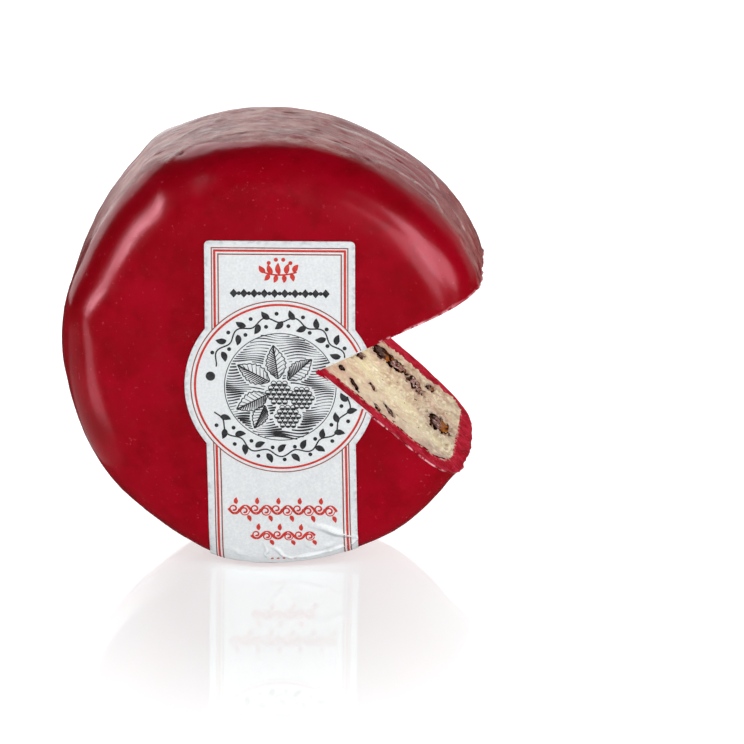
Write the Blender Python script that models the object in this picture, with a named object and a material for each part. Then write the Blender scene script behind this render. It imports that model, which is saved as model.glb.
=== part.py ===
"""A short drum of cheese in red wax, standing on its rim, with one wedge cut out.

The drum's axis lies along Y and its labelled face looks towards -Y. Every piece
is shaped about the drum's own middle, in millimetres, and the whole is moved at
the end so that the flat spot it rests on is centred under it at z = 0.
"""

import math
import random

import bmesh
import bpy
from mathutils import Vector

MM = 0.001
GAP = 0.3
SIDES = 84

# The drum: its outline is a circle with slow swells (waves round the rim, height,
# place of a crest in degrees) and three bulges (height, place, half width), of which
# the last two are where the knife pressed the wax out and in at the ends of the cut.
THICKNESS = 43.5
MEAN_RADIUS = 45.45
SWELLS = (
    (1, 1.21, 59.7), (2, 0.68, -54.4), (3, 0.63, 5.4), (4, 0.36, 2.4),
    (5, 0.15, -18.3), (6, 0.20, -0.1), (7, 0.15, -1.5), (8, 0.25, -9.0),
)
BULGES = ((0.7, 122.5, 5.5), (0.9, -29.0, 5.0), (-0.9, 18.0, 6.0))
FRONT_SHOULDER = 12.5
BACK_SHOULDER = 9.5
FULLNESS = 2.2
DOME = 0.5
FLAT_DEPTH = 0.6

# The wax, thinnest in the middle of the faces.
WAX_MIDDLE = 2.7
WAX_FRONT = 4.5
WAX_RIM = 3.2
WAX_BACK = 3.1
PASTE_CORNER = 4.5

# The cut: two flat sides that meet in a slanting edge right of the middle.
APEX_X = 9.0
APEX_Z = 0.05
UPPER_SIDE = 25.3
LOWER_SIDE = -40.8
LOWER_LEAN = 5.0
REACH = 90.0

# The label: a strip with a round medallion, in one sheet.
STRIP_HALF = 15.35
LABEL_X = 1.2
LABEL_TOP = 27.4
MEDALLION_RADIUS = 19.65
MEDALLION_Z = -3.5
LABEL_CORNER = 1.0
SHEET = 0.3
LABEL_END = 6.0

# Dried fruit: distance from the apex, depth behind the front, half length, half
# width (both in the cut), half depth, turn in degrees.
LOWER_FRUIT = (
    (11.7, 32.2, 3.9, 2.2, 1.9, 84.0),
    (16.5, 32.4, 2.7, 1.5, 1.5, 78.0),
    (4.5, 10.1, 1.3, 0.8, 0.8, 70.0),
    (8.3, 7.3, 2.2, 0.85, 1.0, -54.0),
    (15.1, 5.4, 1.3, 0.8, 0.9, -40.0),
    (17.8, 8.8, 1.8, 1.0, 1.1, -50.0),
    (21.4, 32.0, 3.5, 1.8, 1.7, -67.0),
    (25.0, 36.2, 1.8, 0.9, 1.0, 80.0),
    (29.8, 21.9, 3.1, 2.4, 2.0, 20.0),
    (12.4, 13.5, 1.4, 0.75, 0.8, -60.0),
    (7.6, 23.6, 1.6, 0.9, 0.9, 80.0),
)
UPPER_FRUIT = (
    (9.5, 12.2, 1.7, 1.3, 1.2, 15.0),
    (16.0, 13.8, 2.0, 1.4, 1.3, -20.0),
    (22.0, 12.0, 1.5, 1.1, 1.1, 40.0),
    (27.8, 14.6, 2.3, 1.6, 1.5, 5.0),
    (26.4, 27.4, 2.8, 2.0, 1.8, 60.0),
    (17.0, 32.0, 1.8, 1.4, 1.3, -35.0),
)


def outline(angle):
    """Radius of the drum at an angle in degrees round from +X towards +Z."""
    radius = MEAN_RADIUS
    for waves, height, crest in SWELLS:
        radius += height * math.cos(math.radians(waves * (angle - crest)))
    for height, place, width in BULGES:
        off = (angle - place + 180.0) % 360.0 - 180.0
        radius += height * math.exp(-((off / width) ** 2))
    return radius


def round_corner(size, steps):
    """Inset from the side and from the face along a full quarter curve, face end first."""
    places = []
    for step in range(steps + 1):
        turn = 0.5 * math.pi * step / steps
        power = 2.0 / FULLNESS
        places.append((size * (1.0 - math.sin(turn) ** power), size * (1.0 - math.cos(turn) ** power)))
    return places


def coat_section(grow):
    """Half section of the drum from the front's middle to the back's, swollen by grow."""
    front = -THICKNESS / 2 - grow
    back = THICKNESS / 2 + grow
    rim = MEAN_RADIUS + grow
    flat_front = rim - FRONT_SHOULDER - grow
    flat_back = rim - BACK_SHOULDER - grow
    section = [(0.0, front - DOME), (flat_front * 0.55, front - DOME * 0.7)]
    for side, face in round_corner(FRONT_SHOULDER + grow, 6):
        section.append((rim - side, front + face))
    section.append((rim, 2.0))
    for side, face in reversed(round_corner(BACK_SHOULDER + grow, 5)):
        section.append((rim - side, back - face))
    section += [(flat_back * 0.55, back + DOME * 0.7), (0.0, back + DOME)]
    return section


def paste_section(grow):
    """Half section of the cheese inside the wax, from the front's middle to the back's."""
    front = -THICKNESS / 2 + WAX_FRONT - grow
    back = THICKNESS / 2 - WAX_BACK + grow
    rim = MEAN_RADIUS - WAX_RIM + grow
    corner = PASTE_CORNER + grow
    section = [(0.0, -THICKNESS / 2 - DOME + WAX_MIDDLE - grow), (rim * 0.45, front - 1.9)]
    for side, face in round_corner(corner, 3):
        section.append((rim - side, front + face))
    for side, face in reversed(round_corner(corner, 3)):
        section.append((rim - side, back - face))
    section += [(rim * 0.45, back + 0.3), (0.0, back + 0.4)]
    return section


def fit_outline(mesh, full_radius):
    """Push a round body out to the swelling outline, less towards its axis."""
    for vert in mesh.verts:
        x, y, z = vert.co
        radius = math.hypot(x, z)
        if radius < 1e-6:
            continue
        angle = math.degrees(math.atan2(z, x))
        swell = (outline(angle) - MEAN_RADIUS) * min(1.0, radius / full_radius)
        vert.co = Vector((x * (radius + swell) / radius, y, z * (radius + swell) / radius))


def finish_mesh(mesh, name):
    """Scale a mesh from millimetres, turn its faces outwards and make it an object."""
    bmesh.ops.scale(mesh, vec=(MM, MM, MM), verts=mesh.verts)
    bmesh.ops.recalc_face_normals(mesh, faces=mesh.faces)
    data = bpy.data.meshes.new(name)
    mesh.to_mesh(data)
    mesh.free()
    thing = bpy.data.objects.new(name, data)
    bpy.context.scene.collection.objects.link(thing)
    return thing


def spun_body(name, section, full_radius):
    """A closed body of revolution about Y from a half section, fitted to the outline."""
    mesh = bmesh.new()
    verts = [mesh.verts.new((radius, depth, 0.0)) for radius, depth in section]
    edges = [mesh.edges.new(pair) for pair in zip(verts, verts[1:])]
    bmesh.ops.spin(
        mesh, geom=verts + edges, cent=(0.0, 0.0, 0.0), axis=(0.0, 1.0, 0.0),
        angle=2.0 * math.pi, steps=SIDES, use_merge=True,
    )
    bmesh.ops.remove_doubles(mesh, verts=mesh.verts, dist=0.0001)
    fit_outline(mesh, full_radius)
    return finish_mesh(mesh, name)


def direction(angle):
    """Unit vector in the drum's face at an angle in degrees."""
    return Vector((math.cos(math.radians(angle)), 0.0, math.sin(math.radians(angle))))


def apex(depth):
    """Point of the cut's inner edge at a depth behind the front face."""
    opening = math.radians(UPPER_SIDE - LOWER_SIDE)
    slide = depth * math.tan(math.radians(LOWER_LEAN)) / math.sin(opening)
    start = Vector((APEX_X, depth - THICKNESS / 2, APEX_Z))
    return start + direction(UPPER_SIDE) * slide


def wedge_cutter(name):
    """The wedge that is cut out, longer than the drum is thick and reaching past its rim."""
    mesh = bmesh.new()
    ends = []
    for depth in (-8.0, THICKNESS + 8.0):
        tip = apex(depth)
        corners = (tip, tip + direction(UPPER_SIDE) * REACH, tip + direction(LOWER_SIDE) * REACH)
        ends.append([mesh.verts.new(corner) for corner in corners])
    mesh.faces.new(ends[0])
    mesh.faces.new(list(reversed(ends[1])))
    for one in range(3):
        two = (one + 1) % 3
        mesh.faces.new((ends[0][two], ends[0][one], ends[1][one], ends[1][two]))
    return finish_mesh(mesh, name)


def box_cutter(name, low, high):
    """A plain block between two corners."""
    mesh = bmesh.new()
    bmesh.ops.create_cube(mesh, size=1.0)
    size = Vector(high) - Vector(low)
    bmesh.ops.scale(mesh, vec=size, verts=mesh.verts)
    bmesh.ops.translate(mesh, vec=(Vector(high) + Vector(low)) / 2, verts=mesh.verts)
    return finish_mesh(mesh, name)


def label_outline():
    """Edge of the label seen from the front: strip, medallion and rounded top corners."""
    reach = math.degrees(math.acos(STRIP_HALF / MEDALLION_RADIUS))
    points = []
    for corner in range(4):
        turn = math.radians(90.0 * corner / 3)
        points.append((
            STRIP_HALF - LABEL_CORNER + LABEL_CORNER * math.sin(turn),
            LABEL_TOP - LABEL_CORNER + LABEL_CORNER * math.cos(turn),
        ))
    for step in range(17):
        turn = math.radians(reach - 2.0 * reach * step / 16)
        points.append((MEDALLION_RADIUS * math.cos(turn), MEDALLION_Z + MEDALLION_RADIUS * math.sin(turn)))
    points.append((STRIP_HALF, -60.0))
    return points + [(-across, up) for across, up in reversed(points)]


def label_cutter(name):
    """A block with the label's outline, from in front of the drum to where the label ends."""
    mesh = bmesh.new()
    near = [mesh.verts.new((LABEL_X + across, -THICKNESS / 2 - 5.0, up)) for across, up in label_outline()]
    face = mesh.faces.new(near)
    grown = bmesh.ops.extrude_face_region(mesh, geom=[face])
    moved = [item for item in grown["geom"] if isinstance(item, bmesh.types.BMVert)]
    bmesh.ops.translate(mesh, vec=(0.0, 5.0 + LABEL_END, 0.0), verts=moved)
    return finish_mesh(mesh, name)


def boolean(thing, cutter, operation):
    """Cut or intersect one object with another, left as a hidden tool."""
    step = thing.modifiers.new(cutter.name, "BOOLEAN")
    step.operation = operation
    step.solver = "EXACT"
    step.object = cutter


def boolean_set(thing, group):
    """Cut every object of a collection out of one object."""
    step = thing.modifiers.new(group.name, "BOOLEAN")
    step.operation = "DIFFERENCE"
    step.solver = "EXACT"
    step.operand_type = "COLLECTION"
    step.collection = group


def hide_tool(thing):
    """Mark an object as a tool that isn't part of the cheese."""
    thing.hide_render = True
    thing.display_type = "WIRE"


def material(name, colour, roughness):
    """Plain surface of one colour."""
    surface = bpy.data.materials.new(name)
    surface.use_nodes = True
    shader = surface.node_tree.nodes["Principled BSDF"]
    shader.inputs["Base Color"].default_value = (*colour, 1.0)
    shader.inputs["Roughness"].default_value = roughness
    shader.inputs["Metallic"].default_value = 0.0
    return surface


def fruit_mesh(name, row, side, grow, seed):
    """A lumpy dried fruit lying in one side of the cut, swollen by grow."""
    along, depth, length, width, height, turn = row
    run = direction(LOWER_SIDE if side == "lower" else UPPER_SIDE)
    edge = (apex(1.0) - apex(0.0)).normalized()
    out = edge.cross(run).normalized() * (-1.0 if side == "lower" else 1.0)
    deep = edge - run * edge.dot(run)
    deep.normalize()
    centre = apex(depth) + run * along - out * (height * 0.35)
    draw = random.Random(seed)
    mesh = bmesh.new()
    bmesh.ops.create_icosphere(mesh, subdivisions=2, radius=1.0)
    spin = math.radians(turn)
    first = run * math.cos(spin) + deep * math.sin(spin)
    second = out.cross(first).normalized()
    for vert in mesh.verts:
        lump = 1.0 + draw.uniform(-0.09, 0.09)
        x, y, z = vert.co * lump
        vert.co = centre + first * (x * length) + second * (y * width) + out * (z * height)
    bmesh.ops.recalc_face_normals(mesh, faces=mesh.faces)
    if grow:
        mesh.normal_update()
        moves = [(vert, vert.normal.copy()) for vert in mesh.verts]
        for vert, normal in moves:
            vert.co += normal * grow
    return finish_mesh(mesh, name)


def clear_scene():
    """Remove whatever the scene starts with."""
    for thing in list(bpy.data.objects):
        bpy.data.objects.remove(thing, do_unlink=True)


def centre_on_floor(things, everything):
    """Move it all so the middle of the box round the pieces is over the origin, base at zero."""
    bpy.context.view_layer.update()
    graph = bpy.context.evaluated_depsgraph_get()
    corners = []
    for thing in things:
        corners += [Vector(corner) for corner in thing.evaluated_get(graph).bound_box]
    low = Vector([min(corner[axis] for corner in corners) for axis in range(3)])
    high = Vector([max(corner[axis] for corner in corners) for axis in range(3)])
    shift = Vector((-(low.x + high.x) / 2, -(low.y + high.y) / 2, -low.z))
    for thing in everything:
        thing.location = shift
    print("drum's middle in metres", [round(value, 6) for value in shift])


def build():
    """Make every piece of the cheese."""
    clear_scene()
    full = MEAN_RADIUS - FRONT_SHOULDER
    lowest = min(outline(angle / 2) * math.sin(math.radians(angle / 2)) for angle in range(720))
    floor = lowest + FLAT_DEPTH

    wedge = wedge_cutter("wedge_tool")
    ground = box_cutter("ground_tool", (-80.0, -60.0, floor - 20.0), (80.0, 60.0, floor))
    cavity = spun_body("cavity_tool", paste_section(0.0), MEAN_RADIUS - WAX_RIM - PASTE_CORNER)
    under = spun_body("label_inside_tool", coat_section(GAP), full)
    shape = label_cutter("label_shape_tool")

    coat = spun_body("wax_coat", coat_section(0.0), full)
    boolean(coat, ground, "DIFFERENCE")
    boolean(coat, cavity, "DIFFERENCE")
    boolean(coat, wedge, "DIFFERENCE")

    label = spun_body("label", coat_section(GAP + SHEET), full)
    boolean(label, shape, "INTERSECT")
    boolean(label, under, "DIFFERENCE")
    boolean(label, wedge, "DIFFERENCE")

    pockets = bpy.data.collections.new("pocket_tools")
    bpy.context.scene.collection.children.link(pockets)
    fruits = []
    rows = [("lower", row) for row in LOWER_FRUIT] + [("upper", row) for row in UPPER_FRUIT]
    for number, (side, row) in enumerate(rows, start=1):
        fruit = fruit_mesh(f"berry_{number:02d}", row, side, 0.0, number)
        boolean(fruit, wedge, "DIFFERENCE")
        fruits.append(fruit)
        pocket = fruit_mesh(f"pocket_{number:02d}_tool", row, side, GAP + 0.06, number)
        bpy.context.scene.collection.objects.unlink(pocket)
        pockets.objects.link(pocket)
        hide_tool(pocket)

    paste = spun_body("cheese_paste", paste_section(-GAP), MEAN_RADIUS - WAX_RIM - PASTE_CORNER)
    boolean(paste, wedge, "DIFFERENCE")
    boolean_set(paste, pockets)

    tools = [wedge, ground, cavity, under, shape]
    for tool in tools:
        hide_tool(tool)

    coat.data.materials.append(material("red_wax", (0.335, 0.002, 0.010), 0.28))
    label.data.materials.append(material("label_paper", (0.74, 0.77, 0.80), 0.55))
    paste.data.materials.append(material("cream_paste", (0.66, 0.53, 0.33), 0.60))
    skin = material("dried_fruit", (0.050, 0.020, 0.014), 0.45)
    for fruit in fruits:
        fruit.data.materials.append(skin)

    pieces = [coat, label, paste] + fruits
    centre_on_floor(pieces, pieces + tools + list(pockets.objects))


build()
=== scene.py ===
"""The looks of a short drum of cheese in red wax, cut open on its right side.

Everything is worked out in millimetres about the drum's own middle, with the
drum's axis along Y and its labelled face towards -Y, and then placed in the row
frame. "Depth" is always the distance behind the front face.
"""

import math

import bpy
import numpy as np
from mathutils import Matrix, Vector


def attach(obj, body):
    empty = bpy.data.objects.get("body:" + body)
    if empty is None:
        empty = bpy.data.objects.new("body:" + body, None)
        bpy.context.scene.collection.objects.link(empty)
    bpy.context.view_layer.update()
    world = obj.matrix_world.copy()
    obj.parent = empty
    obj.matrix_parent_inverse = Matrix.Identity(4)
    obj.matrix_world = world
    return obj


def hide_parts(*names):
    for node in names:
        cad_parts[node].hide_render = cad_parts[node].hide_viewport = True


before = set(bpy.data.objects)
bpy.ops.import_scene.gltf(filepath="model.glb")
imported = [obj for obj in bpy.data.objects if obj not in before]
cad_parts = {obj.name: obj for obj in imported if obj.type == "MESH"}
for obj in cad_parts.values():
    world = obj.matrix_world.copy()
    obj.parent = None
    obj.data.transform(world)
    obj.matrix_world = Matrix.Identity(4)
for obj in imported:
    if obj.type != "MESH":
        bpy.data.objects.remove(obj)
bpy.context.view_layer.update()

MM = 0.001
MIDDLE = np.array([1.185, 0.3, 44.617])
TAU = 2.0 * math.pi

# The drum, as in the solids. A swell is so many waves round the rim, their height and a crest's turn in degrees, and
# a bulge is a height, its turn and its width in degrees. A shoulder's fullness is the power of its superellipse: 2
# would make it a circle's quarter. The dome is how far each face stands out at its middle.
THICKNESS = 43.5
MEAN_RADIUS = 45.45
SWELLS = (
    (1, 1.21, 59.7), (2, 0.68, -54.4), (3, 0.63, 5.4), (4, 0.36, 2.4),
    (5, 0.15, -18.3), (6, 0.20, -0.1), (7, 0.15, -1.5), (8, 0.25, -9.0),
)
BULGES = ((0.7, 122.5, 5.5), (0.9, -29.0, 5.0), (-0.9, 18.0, 6.0))
FRONT_SHOULDER = 12.5
BACK_SHOULDER = 9.5
FULLNESS = 2.2
DOME = 0.5
FLOOR = -MIDDLE[2]

# The wax's thickness, and the round edge of the cheese inside it.
WAX_MIDDLE = 2.7
WAX_FRONT = 4.5
WAX_RIM = 3.2
WAX_BACK = 3.1
FRONT_CORNER = 8.0
BACK_CORNER = 4.5

# The cut: two flat sides that meet in a slanting edge, in degrees round from +X.
APEX = (9.0, 0.05)
UPPER = math.radians(25.3)
LOWER = math.radians(-40.8)
LEAN = math.radians(5.0)
SLANT = math.tan(LEAN) / math.sin(UPPER - LOWER)

# The label: a strip with a round medallion, in one sheet of paper that runs on over the front shoulder.
LABEL_X = 1.2
LABEL_LEAN = 0.35
STRIP_HALF = 15.35  # half the strip's width
LABEL_TOP = 27.4
LABEL_END = -45.4
LABEL_CORNER = 1.0
MEDALLION = 19.65  # the medallion's radius
MEDALLION_Z = -3.5
OUTER_RING = 18.35
INNER_RING = 17.5
GARLAND = 14.4
PICTURE = 11.45
PAPER = 0.18
PAPER_LIFT = PAPER + 0.04
PAPER_CLEARANCE = 0.25  # between the paper and the floor

# Dried fruit in each side of the cut: distance from the apex, depth, half length, half width, half height,
# turn in degrees, how dark its flesh is and how strong the amber glow painted on its outer side is.
LOWER_FRUIT = (
    (12.0, 33.8, 3.3, 2.7, 1.9, 45.0, 1.10, 1.0),
    (16.3, 33.2, 3.1, 2.4, 1.5, 78.0, 0.35, 0.3),
    (4.5, 10.1, 1.3, 0.8, 0.8, 70.0, 1.15, 0.0),
    (8.3, 7.3, 2.2, 0.85, 1.0, -54.0, 1.20, 0.0),
    (15.1, 5.4, 1.3, 0.8, 0.9, -40.0, 0.50, 0.9),
    (17.8, 8.8, 1.8, 1.0, 1.1, -50.0, 0.75, 0.1),
    (21.4, 32.0, 3.6, 2.1, 1.7, -67.0, 0.25, 0.2),
    (25.0, 36.2, 1.8, 1.0, 1.0, 80.0, 0.60, 1.0),
    (29.4, 22.1, 3.8, 2.9, 2.0, 40.0, 0.66, 1.0),
    (12.4, 13.5, 1.4, 0.75, 0.8, -60.0, 0.70, 0.3),
    (7.6, 23.6, 1.6, 0.9, 0.9, 80.0, 0.80, 0.4),
)
UPPER_FRUIT = (
    (9.5, 12.2, 1.7, 1.3, 1.2, 15.0, 0.90, 0.3),
    (16.0, 13.8, 2.0, 1.4, 1.3, -20.0, 0.60, 0.0),
    (22.0, 12.0, 1.5, 1.1, 1.1, 40.0, 0.70, 0.5),
    (27.8, 14.6, 2.3, 1.6, 1.5, 5.0, 0.90, 0.8),
    (26.4, 27.4, 2.8, 2.0, 1.8, 60.0, 0.40, 0.2),
    (17.0, 32.0, 1.8, 1.4, 1.3, -35.0, 0.60, 0.6),
)


# Numbers and shapes


def lattice(points, size, seed):
    """Smooth noise from -1 to 1: random values at the corners of cubes, blended by 3t^2 - 2t^3.

    A corner's value is its whole coordinates times large odd numbers, with their bits mixed.
    """
    spot = np.asarray(points, float) / size + 31.7
    base = np.floor(spot).astype(np.int64)
    part = spot - base
    part = part * part * (3.0 - 2.0 * part)
    total = np.zeros(spot.shape[:-1])
    for corner in range(8):
        step = np.array([corner & 1, corner >> 1 & 1, corner >> 2 & 1])
        cell = base + step
        mixed = (cell[..., 0] * 73856093) ^ (cell[..., 1] * 19349663) ^ (cell[..., 2] * 83492791) ^ (seed * 40503)
        mixed = (mixed ^ (mixed >> 13)) * 1274126177 & 0xFFFFFFFF
        mixed = (mixed ^ (mixed >> 16)) & 0xFFFF
        weight = np.prod(np.where(step == 1, part, 1.0 - part), axis=-1)
        total += weight * (mixed / 32767.5 - 1.0)
    return total


def rough(points, size, layers, seed, fall=0.5):
    """Sum of smooth noises, each half the size of the last and weaker by fall."""
    total = 0.0
    height = 1.0
    for layer in range(layers):
        total = total + height * lattice(points, size / 2**layer, seed + 17 * layer)
        height *= fall
    return total


def ease(value, low, high):
    """Smooth step from 0 at low to 1 at high."""
    part = np.clip((value - low) / (high - low), 0.0, 1.0)
    return part * part * (3.0 - 2.0 * part)


def bell(value, middle, width):
    """A hump of height 1: e to minus the square of the distance from its middle in widths."""
    return np.exp(-(((value - middle) / width) ** 2))


def run_length(line):
    """Length run along a polyline at each of its points."""
    return np.concatenate([[0.0], np.cumsum(np.hypot(*np.diff(line, axis=0).T))])


def resample(line, count):
    """A polyline at equal steps along its length."""
    length = run_length(line)
    steps = np.linspace(0.0, length[-1], count)
    return np.stack([np.interp(steps, length, line[:, 0]), np.interp(steps, length, line[:, 1])], -1)


def outline(angle):
    """Radius of the drum at an angle: a circle, slow waves round the rim and three bulges."""
    turn = np.degrees(angle)
    radius = MEAN_RADIUS + np.zeros(np.shape(angle))
    for waves, height, crest in SWELLS:
        radius = radius + height * np.cos(np.radians(waves * (turn - crest)))
    for height, middle, width in BULGES:
        off = (turn - middle + 180.0) % 360.0 - 180.0
        radius = radius + height * bell(off, 0.0, width)
    return radius


def apex(depth):
    """X and Z of the cut's inner edge, which slides outwards along the upper side with depth."""
    slide = np.asarray(depth, float) * SLANT
    return APEX[0] + slide * math.cos(UPPER), APEX[1] + slide * math.sin(UPPER)


def reach(angle, depth, inset):
    """Distance from the cut's inner edge to the outline less an inset, along a ray in the drum's plane.

    The ray meets a circle of the outline's radius there, found again a few times.
    """
    x, z = apex(depth)
    across, up = np.cos(angle), np.sin(angle)
    along = x * across + z * up
    radius = MEAN_RADIUS - inset
    for _ in range(7):
        distance = -along + np.sqrt(along**2 - x**2 - z**2 + radius**2)
        radius = outline(np.arctan2(z + distance * up, x + distance * across)) - inset
    return distance


def shoulder(turn, size, full=FULLNESS):
    """Inset, depth and unit normal round a shoulder: a quarter of a superellipse, from the face out to the rim."""
    side, face = np.sin(turn) ** (2.0 / full), np.cos(turn) ** (2.0 / full)
    out, back = side ** (full - 1.0), face ** (full - 1.0)
    length = np.hypot(out, back)
    return size * (1.0 - side), size * (1.0 - face), out / length, back / length


def dome(x, z, inset):
    """How far a face stands out: a shallow paraboloid that comes to nothing where the shoulder starts."""
    edge = outline(np.arctan2(z, x)) - inset
    return DOME * np.maximum(0.0, 1.0 - (np.hypot(x, z) / edge) ** 2)


def lumps(points):
    """Height of the slow lumps all over the wax, which show through the label too."""
    return 0.10 * lattice(points, 15.0, 3) + 0.035 * lattice(points, 6.0, 5)


# Meshes


def place(points):
    """Points from millimetres about the drum's middle to the row frame in metres."""
    return (np.asarray(points) + MIDDLE) * MM


def mesh_piece(name, finish, points, faces, uv=None, marks=None):
    """A smooth object from a finish and arrays of points, faces, UV per point and named values per point."""
    data = bpy.data.meshes.new(name)
    data.from_pydata(place(points).tolist(), [], faces.tolist())
    data.shade_smooth()
    data.materials.append(finish)
    if uv is not None:
        layer = data.uv_layers.new(name="sheet")
        corners = np.empty(len(data.loops), np.int32)
        data.loops.foreach_get("vertex_index", corners)
        layer.data.foreach_set("uv", np.asarray(uv)[corners].astype(np.float32).ravel())
    for mark, values in (marks or {}).items():
        layer = data.attributes.new(mark, "FLOAT", "POINT")
        layer.data.foreach_set("value", np.asarray(values, np.float32).ravel())
    thing = bpy.data.objects.new(name, data)
    bpy.context.scene.collection.objects.link(thing)
    return thing


def grid_faces(rows, columns, ring=False):
    """Quads of a grid of rows by columns, closed along the rows if it is a ring."""
    one, two = np.meshgrid(np.arange(rows - 1), np.arange(columns if ring else columns - 1), indexing="ij")
    here, below, beside = one * columns, (one + 1) * columns, (two + 1) % columns
    return np.stack([here + two, here + beside, below + beside, below + two], -1).reshape(-1, 4)


def facing(points, faces, ahead):
    """The faces turned over if most of them look away from a direction, or from a field of directions."""
    corners = points[faces]
    normals = np.cross(corners[:, 2] - corners[:, 0], corners[:, 3] - corners[:, 1])
    heading = ahead(corners.mean(1)) if callable(ahead) else np.asarray(ahead, float)
    return faces[:, ::-1] if (normals * heading).sum() < 0.0 else faces


def grid_piece(name, finish, grid, ahead, uv=None, marks=None, ring=False):
    """An object from a finish and one grid of points, facing ahead."""
    rows, columns = grid.shape[:2]
    points = grid.reshape(-1, 3)
    faces = facing(points, grid_faces(rows, columns, ring), ahead)
    flat_uv = None if uv is None else uv.reshape(-1, 2)
    flat_marks = {mark: np.broadcast_to(values, (rows, columns)).ravel() for mark, values in (marks or {}).items()}
    return mesh_piece(name, finish, points, faces, flat_uv, flat_marks)


def unit_ball(rows, columns):
    """A ball of radius 1 about its middle as a closed grid, and each column's turn round it."""
    polar = np.linspace(0.0, math.pi, rows)[:, None]
    around = np.linspace(0.0, TAU, columns + 1)[None, :-1]
    ball = np.stack([np.sin(polar) * np.cos(around), np.sin(polar) * np.sin(around), np.cos(polar) + 0 * around], -1)
    return ball, around


# Materials


def linear(text):
    """Linear colour from sRGB hex."""
    values = np.array([int(text[i : i + 2], 16) for i in (1, 3, 5)]) / 255.0
    values = np.where(values <= 0.04045, values / 12.92, ((values + 0.055) / 1.055) ** 2.4)
    return (*values.tolist(), 1.0)


def add(tree, kind, inputs=None, output=0, **settings):
    """Add a node with its settings and links, and give one of its outputs.

    inputs maps a socket's name or number to a socket to link, a plain value or a hex colour.
    """
    node = tree.nodes.new("ShaderNode" + kind)
    for name, value in settings.items():
        setattr(node, name, value)
    for key, value in (inputs or {}).items():
        if isinstance(value, bpy.types.NodeSocket):
            tree.links.new(value, node.inputs[key])
        else:
            node.inputs[key].default_value = linear(value) if isinstance(value, str) else value
    return node.outputs[output]


def new_finish(name, roughness, level=0.5, tint="#FFFFFF"):
    """An empty material with its tree and its Principled shader, given an even gloss."""
    finish = bpy.data.materials.new(name)
    finish.use_nodes = True
    shader = finish.node_tree.nodes["Principled BSDF"]
    shader.inputs["Roughness"].default_value = roughness
    shader.inputs["Specular IOR Level"].default_value = level
    shader.inputs["Specular Tint"].default_value = linear(tint)
    return finish, finish.node_tree, shader


def patches(tree, spot, colour, *rows, unit=MM):
    """Lay patches of colour over a colour, one on another.

    Each row gives a patch's colour, its strength, the size of its noise in millimetres, the noise values between
    which it comes in, and the mark on the mesh that it keeps to, if any. unit is a millimetre in the units of spot.
    """
    for tint, strength, size, low, high, mark in rows:
        cloud = add(tree, "TexNoise", {"Vector": spot, "Scale": 1 / (size * unit), "Detail": 5.0, "Roughness": 0.62})
        share = add(tree, "MapRange", {"Value": cloud, "From Min": low, "From Max": high, "To Max": strength})
        if mark:
            kept = add(tree, "Attribute", output="Fac", attribute_name=mark)
            share = add(tree, "Math", {0: share, 1: kept}, operation="MULTIPLY")
        colour = add(tree, "Mix", {0: share, 6: colour, 7: tint}, 2, data_type="RGBA")
    return colour


def grain(tree, spot, size, height, detail=5.0, roughness=0.7):
    """A fine unevenness of the surface, with its size and height in millimetres."""
    noise = add(tree, "TexNoise", {
        "Vector": spot, "Scale": 1 / (size * MM), "Detail": detail, "Roughness": roughness,
    })
    return add(tree, "Bump", {"Height": noise, "Distance": height * MM, "Strength": 1.0})


def patched_finish(name, gloss, base, rows, unevenness=None):
    """A finish of one base colour with patches over it, an even gloss and a grain, if it has one."""
    finish, tree, shader = new_finish(name, *gloss)
    spot = add(tree, "TexCoord", output="Object")
    tree.links.new(patches(tree, spot, base, *rows), shader.inputs["Base Color"])
    if unevenness:
        tree.links.new(grain(tree, spot, *unevenness), shader.inputs["Normal"])
    return finish


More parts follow.
